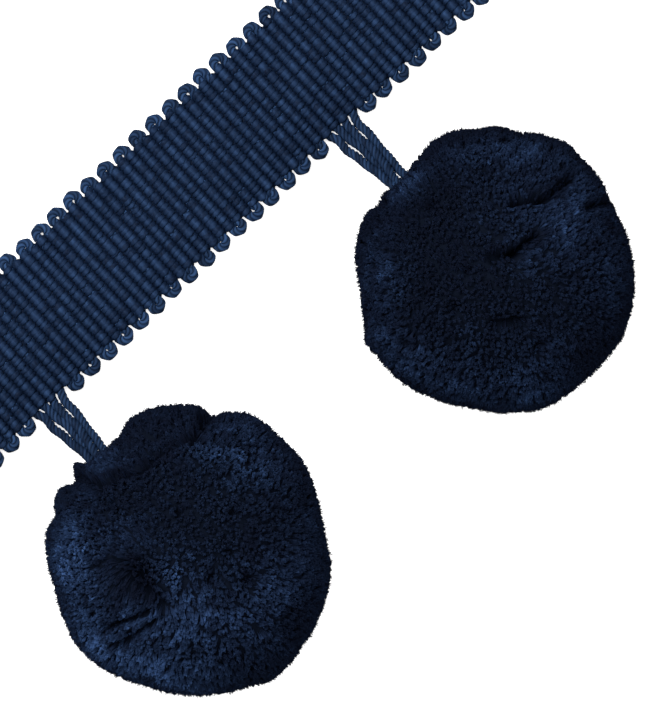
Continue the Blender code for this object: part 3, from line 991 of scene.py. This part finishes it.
def pile_of(ball):
    """The roots and tips of all fibres of a ball, their tone, and where their yarn starts. The
    shears cut at the outline, so no tip stands far out of it, and many fall short of it. A tip
    lies as deep as the dent where it ends, not where it starts, or it would sink into a slope."""
    dice = np.random.default_rng(ball["seed"])
    spacing = math.sqrt(4 * np.pi / YARNS)
    base = unit(golden_points(YARNS) + dice.normal(0, START_UNEVEN * spacing, (YARNS, 3)))
    lean, dent, light = hand_and_painted_light_of(ball, base)
    for drift in DRIFTS:
        for _ in range(drift["waves"]):
            wave, pull = dice.normal(0, drift["turns"], 3), dice.normal(0, drift["size"], 3)
            lean += np.sin(base @ wave + dice.uniform(0, 2 * np.pi))[:, None] * pull
    lock_tone = np.ones(YARNS)
    low = np.zeros(YARNS)
    for kind in LOCK_KINDS:
        locks = unit(dice.normal(0, 1, (kind["count"], 3)))
        mine = nearest_lock(base, locks)
        lean += kind["pull"] * (locks[mine] - base) * BALL_RADIUS
        lock_tone *= np.maximum(DARKEST_LOCK, dice.normal(1, kind["tone"], kind["count"]))[mine]
        low += np.abs(dice.normal(0, kind["low"], kind["count"]))[mine]
    notch_lean, notch_dent = notch_of(ball, base)
    lean = level_with(base, lean + notch_lean + dice.normal(0, YARN_LEAN, (YARNS, 3)))
    dent = dent + notch_dent + low
    count = YARNS * FIBRES
    # Painted light from the combed places and painted shade in the dents both go into the yarn's tone;
    # the lock and gamma factors are its own random tone.
    yarn_tone = (YARN_TONE[ball["name"]] + light) * lock_tone * np.exp(-DENT_SHADE * dent)
    yarn_tone = yarn_tone * dice.gamma(YARN_EVEN, 1 / YARN_EVEN, YARNS)
    tone = np.repeat(yarn_tone, FIBRES) * dice.gamma(FIBRE_EVEN, 1 / FIBRE_EVEN, count)
    base, lean, dent, low = (np.repeat(item, FIBRES, axis=0) for item in (base, lean, dent, low))
    lean = lean + level_with(base, dice.normal(0, FIBRE_LEAN, (count, 3)))
    body = above_floor(outline_reach(ball, base) - dent, base) - PILE
    foot = base * body[:, None] + level_with(base, dice.normal(0, FOOT_SPREAD, (count, 3)))
    tip_way = unit(base * (body + PILE)[:, None] + lean)
    lost = LEAN_LOSS * (lean**2).sum(axis=1)
    uneven = PROUD + WISP["proud"] * is_wisp(count) + dice.normal(0, TIP_UNEVEN, count)
    uneven -= dice.exponential(SHORT, count)
    tip_dent = hand_and_painted_light_of(ball, tip_way)[1] + notch_of(ball, tip_way)[1] + low
    reach = outline_reach(ball, tip_way) - tip_dent - np.minimum(lost, PILE / 2) + uneven
    reach = above_floor(reach, tip_way) - np.abs(dice.normal(0, SHORTFALL, count))
    return foot, reach[:, None] * tip_way, np.clip(tone, 0, 1), base


print(f"{YARNS * FIBRES} fibres a ball, {FIBRES} to a yarn")

# %% Fibres
END_WIDE, END_SLANT = 0.19, 0.03
END_UNEVEN = (0.7, 1.3)
ROOT_SHADE = 0.5
FIBRE_SHIFT, MAP_ROUND = 0.618, 7.0


def fibre_points(foot, tip, dice):
    """Four points for each fibre: three round its cut end, on a circle a little slanted to it,
    and its foot."""
    axis = unit(tip - foot)
    side = unit(np.cross(axis, unit(dice.normal(0, 1, axis.shape))))
    other = np.cross(axis, side)
    turn = 2 * np.pi * np.arange(3) / 3
    ring = turned(turn, side[:, None, :], other[:, None, :])
    wide = END_WIDE * dice.uniform(*END_UNEVEN, (len(tip), 1, 1))
    wide[is_wisp(len(tip))] *= WISP["wide"]
    slant = dice.normal(0, END_SLANT, (len(tip), 3, 1)) * axis[:, None, :]
    return np.concatenate((tip[:, None, :] + wide * ring + slant, foot[:, None, :]), axis=1)


def add_fibres(name, points, tone, material):
    """Fibres of an array of points by fibre, four points and axis: three sides and a cut end. The
    map of each fibre starts FIBRE_SHIFT further round than the last one's, up to MAP_ROUND."""
    first = np.arange(len(points))[:, None] * 4
    corners = (np.array((1, 0, 3, 2, 1, 3, 0, 2, 3, 0, 1, 2)) + first).ravel()
    sizes = np.full(4 * len(points), 3)
    smooth = np.zeros(len(sizes), dtype=bool)
    turn = np.array((0, 0.33, 0.67, 0.5))[corners % 4] + corners // 4 * FIBRE_SHIFT % MAP_ROUND
    along = np.stack((turn, (corners % 4 != 3) * 1.0), axis=-1)
    # Painted shade: each fibre's foot gets a darker tone, as if deep in the pile.
    shade = tone[:, None] * np.array((1.0, 1.0, 1.0, ROOT_SHADE))
    return add_piece(name, points.reshape(-1, 3), corners, sizes, smooth, along, shade, material)


# %% Piles of both balls
LOWEST = 0.02
END_SEED = 100
for ball in BALLS:
    foot, tip, tone, base = pile_of(ball)
    end_dice = np.random.default_rng(ball["seed"] + END_SEED)
    fibres = fibre_points(foot, tip, end_dice) + ball_centre(ball)
    fibres[..., 2] = np.maximum(fibres[..., 2], LOWEST)
    upper = base[:, 2] > 0
    for half_name, chosen in (("upper", upper), ("under", ~upper)):
        pile = add_fibres(f"pile_{ball['name']}_{half_name}", fibres[chosen], tone[chosen], yarn_finish)
        dress(pile, "yarn", f"ball_{ball['name']}")

# %% [markdown]
# ## The balls' hearts
#
# Below the yarn ends the yarns are pressed to one mass. Nothing of it shows but the dark between
# the fibres, so it is a plain body that follows the ball's outline and dents a little above the
# feet of the fibres, and its near-black colour is painted shade. It is painted darker still in
# the dents, as more shade, which makes partings and pits read as deep.

# %% Hearts
HEART_DEPTH = 1.0
HEART_RINGS, HEART_SIDES = 64, 128
HEART_SHADE = 0.9
POLE_GAP = 0.01
heart_slopes = np.linspace(POLE_GAP, np.pi - POLE_GAP, HEART_RINGS)


def heart_of(ball):
    """Points of a heart about the ball's centre, by ring and side, and the dent at each. At a
    slope from the top and a turn round the ball, the reach is that of the outline less the dent
    and HEART_DEPTH."""
    slope = heart_slopes[:, None]
    turn = -2 * np.pi * np.arange(HEART_SIDES)[None, :] / HEART_SIDES
    flat, high = np.sin(slope), np.cos(slope) * np.ones_like(turn)
    ways = np.stack((flat * np.cos(turn), flat * np.sin(turn), high), axis=-1).reshape(-1, 3)
    dents = hand_and_painted_light_of(ball, ways)[1] + notch_of(ball, ways)[1]
    deep = above_floor(outline_reach(ball, ways) - dents, ways) - HEART_DEPTH
    shape = (1, HEART_RINGS, HEART_SIDES)
    return (ways * deep[:, None]).reshape(*shape, 3), dents.reshape(shape)


for ball in BALLS:
    heart, dents = heart_of(ball)
    # Painted shade: the heart is painted darker in the dents.
    tones = np.exp(-HEART_SHADE * dents)
    lengths = heart_slopes[None] * BALL_RADIUS
    core = add_tubes(f"heart_{ball['name']}", heart + ball_centre(ball), lengths, tones, painted_shade_finish)
    dress(core, "yarn", f"ball_{ball['name']}")
